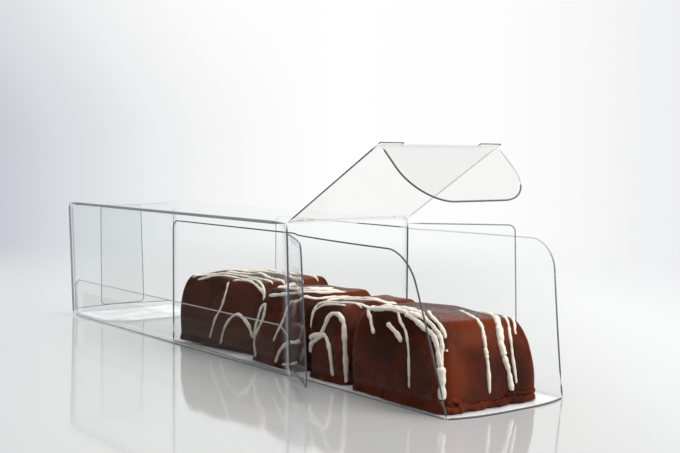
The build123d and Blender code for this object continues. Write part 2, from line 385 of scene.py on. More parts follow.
class Block:
    """A dipped chocolate from its CAD node's box and turn in degrees. Dipping changes it, in millimetres:
    sides (rear, front, near, far), tall and up add to it, twist turns it further, lean and slopes tilt its
    top, taper narrows it, corner and edge round it, its top domes by the crown and its foot runs out."""

    crown = 0.8
    foot = 0.7
    cad_corner = 5.5

    def __init__(
        self, node, turn, seed, sides, twist=0, lean=0, slopes=(0, 0), tall=0, up=0, taper=1.3, corner=3.8,
        edge=6,
    ):
        low, high = (np.array(place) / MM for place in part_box(node))
        cosine, sine = math.cos(math.radians(turn)), abs(math.sin(math.radians(turn)))
        rounding = 2 * (self.cad_corner + self.foot)
        turned = np.array([[cosine, sine], [sine, cosine]])
        plain = np.linalg.solve(turned, (high - low)[:2] - rounding) + rounding
        rear, front, near, far = sides
        self.half = (plain + [rear + front, near + far]) / 2 - self.foot
        self.turn = math.radians(turn + twist)
        self.lean, self.slopes, self.taper = lean, slopes, taper
        self.corner, self.edge = corner, edge
        self.sag = sag((low + high)[0] / 2)
        shift = self.spin(np.array([front - rear, far - near]) / 2)
        self.middle = np.array([*((low + high)[:2] / 2 + shift), low[2] - self.sag + up])
        self.height = (high - low)[2] - self.crown + tall
        waves = np.random.default_rng(seed)
        self.phases = waves.uniform(0, 2 * math.pi, (7, 3))
        self.pitch = waves.uniform(0.12, 0.34, (7, 3))

    def wobble(self, points):
        """Slow dents in the coating, a few tenths deep: a sum of products of three sine waves."""
        angle = points[..., None, :] * self.pitch + self.phases
        return 0.22 * np.sin(angle).prod(-1).sum(-1)

    def snap(self, points):
        """Nearest points on the rounded block, and the directions that point out of it there."""
        inner = self.half - self.corner
        egg = np.array([self.corner, self.corner, self.edge])
        core = np.concatenate([np.clip(points[..., :2], -inner, inner), points[..., 2:]], -1)
        core[..., 2] = np.clip(core[..., 2], None, self.height - self.edge)
        away = unit((points - core) / egg)
        return core + egg * away, unit(away / egg)

    def shape(self, points, out):
        """Warp from the plain rounded block to the real one, in its place in the tray."""
        x, y, z = np.moveaxis(points, -1, 0)
        rise = np.clip(z / self.height, 0, 1)
        flat = out * [1, 1, 0]
        swell = 0.5 * np.sin(math.pi * np.clip((z - 0.5) / (0.8 * self.height), 0, 1)) - 0.3
        ripple = 0.7 + 0.3 * np.sin(0.9 * x + self.phases[0, 0]) * np.cos(0.8 * y + self.phases[0, 1])
        spill = self.foot * ripple * np.exp(-((z / 1.5) ** 3))
        shaped = points + flat * (swell + spill)[..., None] + out * self.wobble(points)[..., None]
        level = shaped[..., :2] * (1 - self.taper * rise[..., None] ** 1.5 / self.half)
        level[..., 0] += self.lean * rise ** 1.5
        dome = self.crown * rise ** 4 * (1 - 0.5 * ((x / self.half[0]) ** 2 + (y / self.half[1]) ** 2))
        slope = (self.slopes[0] * x / self.half[0] + self.slopes[1] * y / self.half[1]) * rise ** 3
        height = np.maximum(shaped[..., 2] + dome + slope, 0.0)
        return np.concatenate([self.spin(level), height[..., None]], -1) + self.middle

    def spin(self, level):
        """Turn level directions by the block's turn."""
        cosine, sine = math.cos(self.turn), math.sin(self.turn)
        return level @ np.array([[cosine, sine], [-sine, cosine]])

    def ring(self, share, z):
        """The outline at a height z: a square drawn in to a share and stretched to the half sizes."""
        around = np.linspace(0, 2 * math.pi, 200, endpoint=False)
        square = np.stack([np.cos(around), np.sin(around)], -1)
        square = square / np.abs(square).max(-1, keepdims=True)
        return np.concatenate([square * self.half * share, np.full((200, 1), z)], -1)

    def surface(self):
        """Grid of rings that start under the block, go up its sides, over the edge and in to the top."""
        up = np.concatenate([np.linspace(0, 3, 12)[:-1], np.linspace(3, self.height, 36)])
        inward = np.linspace(1, 0, 46)[1:]
        sides = [self.ring(1, z) for z in up]
        tops = [self.ring(share, self.height) for share in inward]
        points, out = self.snap(np.array(sides + tops))
        under = np.array([self.ring(share, 0) for share in (0.0, 0.5)]) * [0.9, 0.9, 1]
        return np.concatenate([self.shape(under, np.zeros_like(under)), self.shape(points, out)])


# %% [markdown]
# The four blocks differ in length and stand a little askew, as if put in by hand.

# %% Make the chocolates
def put_in_tray(piece):
    """Let a piece ride in the tray, with a mesh of its own."""
    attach(piece, "drawer")
    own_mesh(piece)


blocks = {
    1: Block(
        "chocolate_1", -1.5, 11, (0, 1, 0.3, 1.8), lean=-1.2, slopes=(-0.4, -0.8), tall=-1.2, taper=1.4,
        corner=4, edge=7,
    ),
    2: Block("chocolate_2", 0, 12, (1.3, -0.1, 0.3, 0), lean=-2, tall=-0.6, taper=0.6),
    3: Block("chocolate_3", 0, 13, (3.2, -2.5, 1, 0), lean=1.2, slopes=(0, -0.6), taper=2.6, corner=3.2),
    4: Block("chocolate_4", 3, 14, (3.5, -2.8, 0.3, 1.5), twist=7, lean=0.6, tall=-1.2, up=0.8, corner=3),
}
for number, block in blocks.items():
    piece = new_piece(f"dipped_chocolate_{number}", [block.surface()], chocolate_paint, wrap=True)
    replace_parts(piece, f"chocolate_{number}")
    put_in_tray(piece)

# %% [markdown]
# ## The icing
# Icing is drizzled from a bag in quick strokes, so each stroke is a thin rounded cord that runs up one
# side, over the top and down the other, or turns back in an arch. It is written as a few points of (along,
# wrap) on the unfolded block: along runs beside the edge that it crosses, and wrap is the way up the near
# or front face, then across the top. A smooth curve through them is folded onto the box, snapped to its
# rounded surface, and given a flattened round section.

# %% Strokes of icing
def smooth_path(points):
    """Catmull-Rom curve: the slope at a point is half the difference of its neighbours."""
    points = np.array(points, float)
    ends = np.concatenate([[2 * points[0] - points[1]], points, [2 * points[-1] - points[-2]]])
    t = np.linspace(0, 1, 14, endpoint=False)[:, None]
    spans = []
    for a, b, c, d in zip(ends, ends[1:], ends[2:], ends[3:]):
        cubic = 2 * b + (c - a) * t + (2 * a - 5 * b + 4 * c - d) * t ** 2 + (3 * b - a - 3 * c + d) * t ** 3
        spans.append(cubic / 2)
    return np.concatenate(spans + [points[-1:]])


def fold(block, path, over_end):
    """Unfolded points put on the block's box: wrap climbs a face to the top, crosses it and goes down."""
    along, wrap = path.T
    reach = block.half[0] if over_end else block.half[1]
    across = np.clip(wrap - block.height, 0, 2 * reach) - reach
    z = np.minimum(wrap, block.height) - np.clip(wrap - block.height - 2 * reach, 0, None)
    if over_end:
        return np.stack([-across, along, z], -1)
    return np.stack([along, across, z], -1)


def icing_cord(block, path, width, over_end=False, height=0.42):
    """A flattened cord along a path on the block, middle + size * (width / 2 * cos(angle) * side +
    height * width * sin(angle) * out): half buried, round at its ends and a little uneven."""
    line = smooth_path(path)
    on_box, out = block.snap(fold(block, line, over_end))
    middle = block.shape(on_box, out)
    ahead = unit(np.gradient(middle, axis=0))
    out = np.concatenate([block.spin(out[:, :2]), out[:, 2:]], -1)
    side = unit(np.cross(out, ahead))
    share = np.linspace(0, 1, len(line))
    ends = np.clip(np.minimum(share, 1 - share) * len(line) / 5, 0, 1)
    size = np.sqrt(np.clip(1 - (1 - ends) ** 2, 0.0004, 1))
    length = np.linalg.norm(np.diff(middle, axis=0), axis=1).sum()
    way, (first, second) = share * length, path[0]
    size *= 1 + 0.16 * np.sin(way * 0.9 + first) + 0.10 * np.sin(way * 2.3 + second)
    angle = np.linspace(0, 2 * math.pi, 10, endpoint=False)[:, None]
    flat = width / 2 * np.cos(angle) * side[:, None]
    proud = height * width * np.sin(angle) * out[:, None]
    return middle[:, None] + size[:, None, None] * (flat + proud)


# %% [markdown]
# The lists below are the hand's own strokes, block by block: a width in millimetres, then the points. Most
# fall down the near side, and on the first block some fall over its front end.

# %% The strokes, block by block
near_strokes = {}
near_strokes[1] = [
    (1.1, (-15.2, 27), (-14.6, 23.5), (-12.2, 21), (-10.7, 18.4), (-8.8, 16)),
    (1.4, (-4.3, 20), (-1.9, 18.5), (0.7, 17.2), (3.2, 15.6)),
    (0.8, (-4, 26.5), (-0.5, 23.5), (2.6, 20.3), (5, 17.3), (6.7, 14), (7.2, 9.3), (7.1, 4.6)),
    (1.4, (1, 25), (5.4, 24), (10.5, 22.3), (15, 20.2), (17.5, 17.6), (18.6, 14.5), (19.6, 11)),
    (2, (19.2, 12), (19.8, 9), (19.8, 6.5), (19.8, 3.6)),
    (0.84, (0, 27.4), (7.6, 25), (13, 23.8), (17, 22), (19.6, 19.5), (19.8, 15), (19.8, 11)),
    (1.7, (-16, 24), (-10, 24.6), (-4, 25.4), (2, 25.6), (8, 25)),
    (2, (-13, 27), (-6, 28), (0, 28.6), (6, 27.6)),
    (0.99, (-16, 31), (-8, 31), (-2, 32)),
]
near_strokes[2] = [
    (1.4, (-7.4, 10.8), (-5.9, 11.9), (-2.2, 13), (0.3, 16), (1.8, 18.7), (4, 20.4), (7.2, 20), (9.3, 18)),
    (1.4, (7.2, 20), (9.3, 18), (9.6, 14), (9.6, 10), (9.6, 5), (9.4, 0.6)),
    (1.4, (-7.2, 7), (-6.3, 9.6), (-3.4, 11.4), (-1.1, 12.8), (0.7, 12.6), (2.4, 10.7), (3.4, 8), (3.7, 1.8)),
    (0.94, (-7.2, 16), (-6.8, 21.3), (-5.1, 23.8), (-0.5, 25.6), (3, 28), (8.5, 30)),
    (0.8, (-7.3, 14), (-6.4, 19.6), (-3.4, 23), (2, 24.3), (6, 25.5)),
    (1.2, (-6, 27), (-4.6, 32), (-0.7, 36), (6.3, 38.4), (8.2, 44)),
    (1, (2, 28.2), (5.7, 29.2), (7.6, 31), (9.4, 33.3)),
    (1, (-3, 31), (0, 33), (4.5, 35), (7.3, 39.4), (8.6, 44.5)),
]
near_strokes[3] = [
    (1, (-8.1, 17.6), (-10.1, 16.8), (-10.6, 14.7), (-10.7, 12.6), (-11.1, 9.5), (-11.2, 6), (-11, 3)),
    (1, (-8.4, 17.4), (-7.7, 15.3), (-7.7, 13), (-9, 10.3), (-10.6, 7.5), (-11, 5), (-10, 1)),
    (0.8, (6, 21), (4.5, 17.6), (3.7, 15.2), (2.8, 12.8), (1.1, 10), (0, 7.3)),
    (1.2, (2, 1.2), (3.7, 4.8), (6, 7), (9, 8.2), (11.8, 8.6), (13.4, 9.3)),
    (1.1, (-9, 21), (-4.8, 22), (0.6, 23), (7.9, 25), (11, 31.5), (10, 44)),
    (0.88, (6.5, 20), (10.8, 22.3), (13, 28.2), (12.8, 37), (13, 43.8)),
    (1.1, (-8, 26), (0, 26), (5, 27.4), (8.4, 33), (6, 44)),
    (1, (-10, 30), (-2, 30), (3, 34), (2, 44)),
    (0.8, (5.4, 1.2), (9.6, 1.9), (13, 3)),
]
near_strokes[4] = [
    (0.8, (1.8, 23), (2.2, 18), (1.2, 13.3), (-1.4, 9.3), (-2.8, 6), (-4.3, 2.2)),
    (0.88, (1.1, 1), (2.1, 4.4), (4.1, 8), (6.7, 10.6), (9.5, 11.5), (12.5, 10.1)),
    (1.3, (9.5, 11.5), (12.5, 10.1), (15.1, 8), (16.8, 4.6)),
    (1, (-15, 22.5), (-8, 24.6), (0, 27.4), (8, 27.4), (15, 24.8), (20, 22.4), (21.6, 19.6)),
    (0.95, (3, 23.6), (7.7, 24.9), (14, 23.6), (18.5, 21.8), (21, 19.8), (21.6, 17)),
    (1.1, (-18, 23), (-14, 27.5), (-7, 31), (2, 31.5), (12, 28.5), (20, 27.5)),
    (1.4, (-13, 35), (-6.3, 38.5), (4, 37), (12, 33.5), (20.8, 32.8)),
    (1.4, (-13, 41), (-5, 45.5), (4, 45.5), (14, 42.5), (21.4, 41.5)),
    (1.2, (-9, 47.5), (2, 51), (12, 49.5), (21, 49.5)),
    (1.8, (21.6, 29), (21.6, 32), (21.4, 35.3), (20.9, 38)),
]
end_strokes = {1: [
    (0.94, (-12, 36), (-15.4, 28.7), (-17, 24.5), (-17.1, 19.5), (-16.4, 15.2)),
    (1, (-6, 40), (-10.1, 34), (-13.8, 27.7), (-15.1, 23.6), (-15.1, 19.3)),
    (1.1, (8, 42), (2.4, 31.5), (-0.4, 25), (-0.6, 22), (-1.1, 17.4), (-1.2, 14), (-0.9, 10.8), (-0.6, 3.2)),
    (1.6, (-1.5, 15.4), (-1.1, 13.6)),
    (
        1.5, (12, 37), (9.6, 30), (6.4, 24.3), (4.8, 19.5), (4.3, 15.5), (5.1, 12.3), (6.3, 8.8), (7, 4.8),
        (8, 1),
    ),
    (2, (8.4, 27.5), (6.2, 23.5), (5, 19), (4.6, 15.5), (5, 12.8)),
    (0.85, (12, 28), (10.7, 25.1), (9.4, 21.5), (8.3, 16.6), (8, 12.6), (8.4, 8.8), (8.9, 5)),
    (0.85, (13.4, 25.6), (12.6, 23.6), (11.5, 21), (10.9, 18.2)),
    (0.85, (-15.1, 16), (-15.1, 15.4)),
]}
for number, block in blocks.items():
    cords = [icing_cord(block, path, width) for width, *path in near_strokes[number]]
    cords += [icing_cord(block, path, width, over_end=True) for width, *path in end_strokes.get(number, [])]
    piece = new_piece(f"icing_strokes_{number}", cords, icing_paint, wrap=True)
    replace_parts(piece, f"icing_{number}")
    put_in_tray(piece)

# %% [markdown]
# On the front piece the coating ran down and set in a wavy roll along the foot of its front end.

# %% The roll of chocolate at the front foot
front = blocks[1]
wave = [(-16.5, 1.2), (-13, 0.8), (-10, 1.5), (-6, 0.6), (-2, 1.1), (2, 0.5), (6, 1.2), (10, 0.7), (15, 1.3)]
rolls = [
    (2.3, 0.5, *wave),
    (1.6, 0.5, (-15.5, 2.6), (-14, 3.4), (-12.2, 2.9), (-11, 1.8)),
    (1.7, 0.4, (5, 1.9), (8, 2.7), (12, 2.2), (15.6, 2.8)),
]
foot_rolls = [icing_cord(front, path, width, over_end=True, height=height) for width, height, *path in rolls]
for roll in foot_rolls:
    roll[..., 2] = np.maximum(roll[..., 2], front.middle[2])
foot_roll = new_piece("foot_roll", foot_rolls, chocolate_paint, wrap=True)
put_in_tray(foot_roll)

# %% [markdown]
# ## Panels of film
# A panel is a ruled sheet: rows of points that run straight from a left end to a right end. Round corners
# come from rows that close in along a quarter circle, and Solidify gives the sheet its thickness.

# %% Panel outlines
def quarter_rows(length, radius, rows=10):
    """Places of the rows along a panel with round end corners, and how far the arcs draw each row in."""
    angle = np.linspace(0, math.pi / 2, rows)
    plain = np.linspace(0, length - radius, 8)[:-1]
    places = np.concatenate([plain, length - radius + radius * np.sin(angle)])
    inset = np.concatenate([np.zeros(len(plain)), radius * (1 - np.cos(angle))])
    return places, inset


def ruled(places, left, right, columns=14):
    """Flat grid whose rows lie at the given places and run from left to right."""
    share = np.linspace(0, 1, columns)
    across = left[:, None] + (right - left)[:, None] * share
    return np.stack([np.broadcast_to(places[:, None], across.shape), across], -1)


def rectangle(low_a, high_a, low_b, high_b, rows=16, columns=14):
    """Flat grid over a rectangle."""
    places = np.linspace(low_a, high_a, rows)
    return ruled(places, np.full(rows, low_b), np.full(rows, high_b), columns)


def put(flat, origin, first, second, lift=None):
    """Carry a flat grid to its plane: origin + a * first + b * second, plus lift along the plane's normal."""
    first, second = np.array(first, float), np.array(second, float)
    grid = np.array(origin, float) + flat[..., :1] * first + flat[..., 1:] * second
    if lift is not None:
        grid = grid + lift[..., None] * np.cross(first, second)
    return grid


def film_piece(name, grids, face, body):
    """Panels of one folded sheet, as thick as the film, riding on a body."""
    piece = new_piece(name, grids, face)
    thick = piece.modifiers.new("film thickness", "SOLIDIFY")
    thick.thickness = film * MM
    thick.offset = 0
    if body:
        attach(piece, body)
    return piece


# %% [markdown]
# The eye finds a clear panel by its edges, so each one that shows gets a fine bead: a circle carried along
# the edge. A flat panel's edge lies in a plane, whose normal and the tangent give the circle its axes.

# %% Beads along edges
def outline(grid):
    """The free edge of a panel: up its left side, along its last row and down its right side."""
    return np.concatenate([grid[:, 0], grid[-1, 1:-1], grid[::-1, -1]])


def straight(start, end):
    """A straight edge as 24 points."""
    return np.linspace(np.array(start, float), np.array(end, float), 24)


def beads(name, paths, radius, material, body="box"):
    """Round beads along paths of points: point + radius * (cos(angle) * side + sin(angle) * normal)."""
    angle = np.linspace(0, 2 * math.pi, 8, endpoint=False)[:, None]
    grids = []
    for path in paths:
        ahead = unit(np.gradient(path, axis=0))
        normal = np.linalg.svd(path - path.mean(0))[2][-1]
        side = np.cross(normal, ahead)[:, None]
        size = np.full((len(path), 1, 1), radius)
        size[[0, -1]] = 0.02
        grids.append(path[:, None] + size * (np.cos(angle) * side + np.sin(angle) * normal))
    piece = new_piece(name, grids, material, wrap=True)
    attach(piece, body)
    return piece


# %% [markdown]
# ### The sleeve
# Four long walls, the seam flap that is glued inside the near side, the rear closing panel with its tuck on
# the floor, and two dust flaps at each end, folded in at the rear and swung out in front. The rear panel
# bellies a little, as sprung film does, and the near side leans out towards its top, because the open lid
# doesn't hold the mouth square.

# %% Sleeve panels
layer = film + 0.12
glue = 0.1
seam_y = -side_y + film + glue
roof_z = roof_top - film / 2
floor_z = film / 2
rear_x = rear_end + film / 2
near_flap_x = rear_x + layer
far_flap_x = near_flap_x + layer
tuck_z = floor_z + layer
panel_half = side_y - 0.2
tuck_half = panel_half - 0.75
lock_half = panel_half - 8.0
slit = 1.35
flap_gap = 2.5
seam_inset, seam_height, seam_bevel = 1.6, 14.5, 2.4
belly_depth = 1.6
spring = 1.38


def splay(grid):
    """The sleeve out of square: y moves by -spring * z / roof * the share of the way to the near side."""
    x, y, z = np.moveaxis(grid, -1, 0)
    push = spring * np.clip(z / roof_top, 0, 1) * np.clip((side_y - y) / (2 * side_y), 0, 1)
    return np.stack([x, y - push, z], -1)


def dust_flap(corner, heading, length, relief=1.0, narrow=0.0, radius=1.5, unwind=0.0, stretch=0.0):
    """A tall panel on an upright crease, lower than the wall by relief and at its end by narrow more. unwind
    turns its foot further than its top by some degrees, and stretch makes its foot longer."""
    places, inset = quarter_rows(length, radius)
    low = flap_gap + 0.8 * places / length + inset
    high = roof_top - relief - narrow * places / length - inset
    flat = ruled(places, low, high)
    curl = 0.5 * np.sin(math.pi * flat[..., 0] / length)
    down = 1 - flat[..., 1] / roof_top
    turn = np.radians(heading + unwind * down)
    out = flat[..., 0] * (1 + stretch * down / length)
    x = corner[0] + out * np.cos(turn) - curl * np.sin(turn)
    y = corner[1] + out * np.sin(turn) + curl * np.cos(turn)
    hinge = np.stack([0 * x, 0 * y + corner[1], flat[..., 1]], -1)
    return np.stack([x, y + splay(hinge)[..., 1] - corner[1], flat[..., 1]], -1)


def tuck(length, radius):
    """A tuck's flat grid: slit free at both ends of its crease, then full width, with round corners."""
    places, inset = quarter_rows(length, radius, 16)
    wide = np.maximum(tuck_half - inset, 1.0)
    past_slit = places > slit + 0.05
    places = np.concatenate([[0.0, slit - 0.01, slit + 0.01], places[past_slit]])
    wide = np.concatenate([[lock_half, lock_half, tuck_half], wide[past_slit]])
    return ruled(places, -wide, wide, 24)


rear_height = roof_z - tuck_z
belly = rectangle(-panel_half, panel_half, 0, rear_height, 18, 14)
bulge = (1 - (belly[..., 0] / panel_half) ** 2) * np.sin(math.pi * belly[..., 1] / rear_height)
seam_start, seam_end = rear_end + seam_inset, mouth_x - seam_inset
seam_flat = rectangle(seam_start, seam_end, 0, 1, 40, 6)
from_end = np.minimum(seam_flat[..., 0] - seam_start, seam_end - seam_flat[..., 0])
seam_flat[..., 1] *= seam_height - floor_z - np.clip(seam_bevel - from_end, 0, seam_bevel)
walls = [
    put(rectangle(rear_x, mouth_x - 0.5, -side_y, side_y, 30), (0, 0, roof_z), x_axis, y_axis),
    put(rectangle(near_flap_x, mouth_x, film, roof_z, 30), (0, -side_y, 0), x_axis, z_axis),
    put(rectangle(far_flap_x, mouth_x, floor_z, roof_z, 30), (0, side_y, 0), x_axis, z_axis),
    put(rectangle(rear_x, mouth_x, seam_y, side_y, 30), (0, 0, floor_z), x_axis, y_axis),
    put(seam_flat, (0, seam_y, floor_z), x_axis, z_axis),
    put(belly, (rear_x, 0, roof_z), y_axis, (0, 0, -1), belly_depth * bulge),
]
walls = [splay(wall) for wall in walls]
seam_flap = walls[4]
near_flap = dust_flap((mouth_x, -side_y), -28.5, 32.5, relief=3.1, narrow=0.5, radius=3.0, unwind=1.8)
far_flap = dust_flap((mouth_x, side_y), 44.0, 33.2, relief=1.6, radius=2.0, stretch=1.2)
rear_flaps = [
    dust_flap((near_flap_x, -side_y), 90, 31.0, narrow=0.8),
    dust_flap((far_flap_x, side_y), -90, 33.0, narrow=0.8),
]
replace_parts(film_piece("sleeve_film", [*walls, near_flap, far_flap], film_clear, "box"), "sleeve")
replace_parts(film_piece("rear_flap_film", rear_flaps, film_rear, "box"), "sleeve")
rear_tuck = put(tuck(31.0, radius=12.0), (rear_x, 0, tuck_z), x_axis, y_axis)
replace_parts(film_piece("rear_tuck_film", [rear_tuck], film_rear_tuck, "box"), "sleeve")

# %% [markdown]
# ### The sleeve's edges
# The uprights of the mouth and the near flap are the sharpest folds and catch the most dark. The near roof
# crease is broad and grey, those at the rear are soft, and the seam and the floor's creases are pale.

# %% Sleeve edges
near_roof = splay(straight((rear_x, -side_y, roof_z), (mouth_x - 0.3, -side_y, roof_z)))
near_mouth = splay(straight((mouth_x, -side_y, flap_gap), (mouth_x, -side_y, roof_top - 0.4)))
far_mouth = straight((mouth_x, side_y, flap_gap), (mouth_x, side_y, roof_top - 1.6))
rear_upright = splay(straight((rear_x, -side_y, floor_z), (rear_x, -side_y, roof_z)))
far_upright = straight((far_flap_x, side_y, flap_gap), (far_flap_x, side_y, roof_top - flap_gap))
near_floor = straight((rear_x, seam_y - 0.2, floor_z), (mouth_x, seam_y - 0.2, floor_z))
far_floor = straight((rear_x, side_y, floor_z), (mouth_x, side_y, floor_z))
rear_floor = straight((rear_x, -lock_half, tuck_z), (rear_x, lock_half, tuck_z))
beads("near_roof_crease", [near_roof], 0.52, edge_roof)
beads("mouth_creases", [near_mouth, far_mouth], 0.25, edge_dark)
beads("near_flap_edge", [outline(near_flap)], 0.22, edge_dark)
beads("rear_uprights", [rear_upright], 0.40, edge_grey)
beads("rear_flap_edges", [outline(flap) for flap in rear_flaps] + [far_upright], 0.17, edge_grey)
beads("far_flap_edge", [outline(far_flap)], 0.2, edge_grey)
beads("seam_edge", [outline(seam_flap.transpose(1, 0, 2))], 0.2, edge_pale)
beads("floor_creases", [near_floor, far_floor], 0.18, edge_floor)
beads("tuck_edge", [rear_floor], 0.15, edge_pale)

# %% [markdown]
# ### The lid and its tongue
# The lid stands up from the roof, and its tongue is folded down from the lid's free edge. At its root the
# lid shares the sleeve's lean, and further up it is free of it.

# %% Lid, tongue and the strips over their creases
lid_drift = 0.45


def lid_lean(grid):
    """A grid on the lid or past it out of square: the sleeve's lean fades, and the lid drifts sideways."""
    way = np.clip((grid - lid_root) @ lid_up / lid_length, 0, 1.5)
    near = np.clip((side_y - grid[..., 1]) / (2 * side_y), 0, 1)
    grid = grid.copy()
    grid[..., 1] += lid_drift * way - spring * near * (1 - np.clip(way, 0, 1))
    return grid


lid_flat = rectangle(0.5, lid_length, -panel_half, panel_half, 16, 24)
lid_bow = 0.5 * np.sin(math.pi * lid_flat[..., 0] / lid_length) * (1 - (lid_flat[..., 1] / panel_half) ** 2)
lid_grid = lid_lean(put(lid_flat, lid_root, lid_up, y_axis, lid_bow))
shoulders = [
    lid_lean(put(rectangle(lid_length, lid_length + 1.0, low, high, 3, 5), lid_root, lid_up, y_axis))
    for low, high in ((-panel_half, -lock_half), (lock_half, panel_half))
]
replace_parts(film_piece("lid_film", [lid_grid, *shoulders], film_lid, "lid"), "lid_panel")
beads("lid_edge", [lid_grid[:, 0]], 0.2, edge_dark, "lid")
beads("lid_shoulders", [outline(shoulder) for shoulder in shoulders], 0.15, edge_dark, "lid")
beads("lid_far_edge", [lid_grid[:, -1]], 0.13, edge_pale, "lid")

tongue_length = 21.0
tongue_flat = tuck(tongue_length, radius=12.4)
tongue_flat = tongue_flat[tongue_flat[:, 0, 0] > 0.2]
share = tongue_flat[..., 0] / tongue_length
tongue_grid = put(tongue_flat, tongue_root, tongue_down, y_axis, -0.4 * share ** 2)
tongue_grid[..., 1] += lid_drift + 0.5 * share
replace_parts(film_piece("tongue_film", [tongue_grid], film_lid, "tuck"), "tuck_tongue")
pale_length = 14.0
turn_row = int(np.argmin(np.abs(tongue_flat[:, 0, 0] - pale_length)))
near_part = np.concatenate([tongue_grid[1:, 0], tongue_grid[-1, 1:-1], tongue_grid[:turn_row:-1, -1]])
beads("tongue_edge", [near_part], 0.25, edge_dark, "tuck")
beads("tongue_far_edge", [tongue_grid[1:turn_row + 2, -1]], 0.18, edge_pale, "tuck")


def bending_crease(name, root, back, ahead, half, reach_back, reach_ahead):
    """A strip across a hinge: its rows follow the first panel up to the crease and then the second."""
    behind = np.linspace(reach_back, 0, 5)[:, None] * back
    beyond = np.linspace(0, reach_ahead, 5)[1:, None] * ahead
    rows = np.concatenate([behind, beyond])
    across = np.linspace(-half, half, 20)
    grid = root + rows[:, None] + across[:, None] * y_axis
    strip = film_piece(name, [lid_lean(grid)], film_clear, None)
    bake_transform(strip)


roof_crease = lid_root - [0, 0, film / 2]
backward = np.array([-1.0, 0, 0])
bending_crease("lid_crease", roof_crease, backward, lid_up, panel_half, 0.6, 0.6)
bending_crease("tongue_crease", tongue_root, -lid_up, tongue_down, lock_half, 0.4, 1.3)

# %% [markdown]
# ### The tray
# The tray is a floor with two sides, upright inside the sleeve and sprung apart outside it, more and more
# towards the front. The lowest strip of each side is a hem of its own.

# %% Tray sides and floor
tray_height = tray_high[2] - tray_floor
lip_bow = 3.0
tray_front = tray_high[0] - lip_bow
tray_rear = tray_low[0]
slant, front_radius, rear_radius = 9.0, 8.0, 3.0
spread_most, spread_reach = 6.2, 28.0
hem = 4.0


def round_off(heights, radius):
    """How far a round top corner is behind its square one: radius - the root of radius ** 2 - up ** 2."""
    up = np.clip(heights - (tray_height - radius), 0, radius)
    return radius - np.sqrt(radius ** 2 - up ** 2)


def side_grid(sign, low, high, rows):
    """A side from height low to high. Inside the sleeve it stands upright, and a way past the mouth its top
    spreads by spread_most * (1 - e ** (-way / spread_reach))."""
    heights = np.linspace(low, high, rows)
    if high == tray_height:
        arc = high - front_radius + front_radius * np.sin(np.linspace(0, math.pi / 2, 16))
        heights = np.concatenate([np.linspace(low, high - front_radius, rows)[:-1], arc])
    front = tray_front - slant * heights / tray_height - round_off(heights, front_radius)
    rear = tray_rear + round_off(heights, rear_radius)
    flat = ruled(heights, rear, front, 70)
    z, x = flat[..., 0], flat[..., 1]
    way = np.clip(x - mouth_x, 0, None)
    spread = spread_most * (1 - np.exp(-way / spread_reach)) * (z / tray_height) ** 1.2
    sink = spread ** 2 / (2 * tray_height) if sign < 0 else -0.3 * z / tray_height
    grid = np.stack([x, sign * (tray_side + spread), tray_floor + z - sink - sag(x)], -1)
    return grid if sign > 0 else grid[:, ::-1]


def close_sides(piece, sign):
    """Give a piece of a side a mesh of its own."""
    sign * tray_side * MM
    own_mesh(piece)


def close_hem(piece):
    """Give a piece of a hem a mesh of its own."""
    hem_top = (tray_floor + hem - sag(tray_front)) * MM
    1 - sag(tray_front) / hem
    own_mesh(piece)


def close_floor(piece):
    """Give a piece of the floor a mesh of its own."""
    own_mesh(piece)


top_inside = side_grid(1, hem, tray_height, 12)[-1]
top_inside = top_inside[(top_inside[:, 0] > mouth_x - 25) & (top_inside[:, 0] < mouth_x)]
close_sides(beads("tray_far_edge_inside", [top_inside], 0.2, edge_grey, "drawer"), 1)
for name, sign, finish in (("near", -1, edge_dark), ("far", 1, edge_tray)):
    upper = side_grid(sign, hem, tray_height, 12)
    lower = side_grid(sign, 0.0, hem, 4)
    for piece in (
        film_piece(f"tray_{name}_side", [upper], film_clear, "drawer"),
        beads(f"tray_{name}_edge", [outline(upper)], 0.22, finish, "drawer"),
    ):
        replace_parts(piece, "tray")
        close_sides(piece, sign)
    for piece in (
        film_piece(f"tray_{name}_hem", [lower], film_clear, "drawer"),
        beads(f"tray_{name}_hem_edge", [lower[:, 0], lower[:, -1]], 0.22, finish, "drawer"),
    ):
        close_hem(piece)

floor_rows = np.linspace(-tray_side, tray_side, 40)
lip = tray_front + lip_bow * (1 - np.abs(floor_rows / tray_side) ** 3)
floor_flat = ruled(floor_rows, np.full(40, tray_rear), lip, 90)
floor_grid = put(floor_flat[..., ::-1], (0, 0, tray_floor), x_axis, y_axis)
floor_grid[..., 2] -= sag(floor_grid[..., 0])
close_floor(film_piece("tray_floor_film", [floor_grid], film_tray_floor, "drawer"))
close_floor(beads("tray_lip", [floor_grid[:, -1]], 0.24, edge_dark, "drawer"))
close_floor(beads("tray_creases", [floor_grid[0], floor_grid[-1]], 0.18, edge_floor, "drawer"))
close_floor(beads("tray_rear_edge", [floor_grid[:, 0]], 0.18, edge_pale, "drawer"))

# %% [markdown]
# The glue line is a CAD piece whose shape is right, so it only gets a finish: clear, faintly cloudy.

# %% Glue line
glue_materials = frame["nodes"]["seam_glue"].data.materials
glue_materials.clear()
glue_materials.append(film_face("clear glue", (0.96, 0.96, 0.96), 0.01))
print("seam_glue wears", glue_materials[0].name)

# %% [markdown]
# ## Table, room, lamps and camera
# The table is white and glossy, so the box stands on its own soft reflection. Far from the box it takes on
# the room's own glow, so no horizon shows. The glow is a function of one direction: for the room the
# direction looked in, and for the table the direction from the camera to each point. Only the camera and
# reflections see it bright, which keeps the light on the box plain.

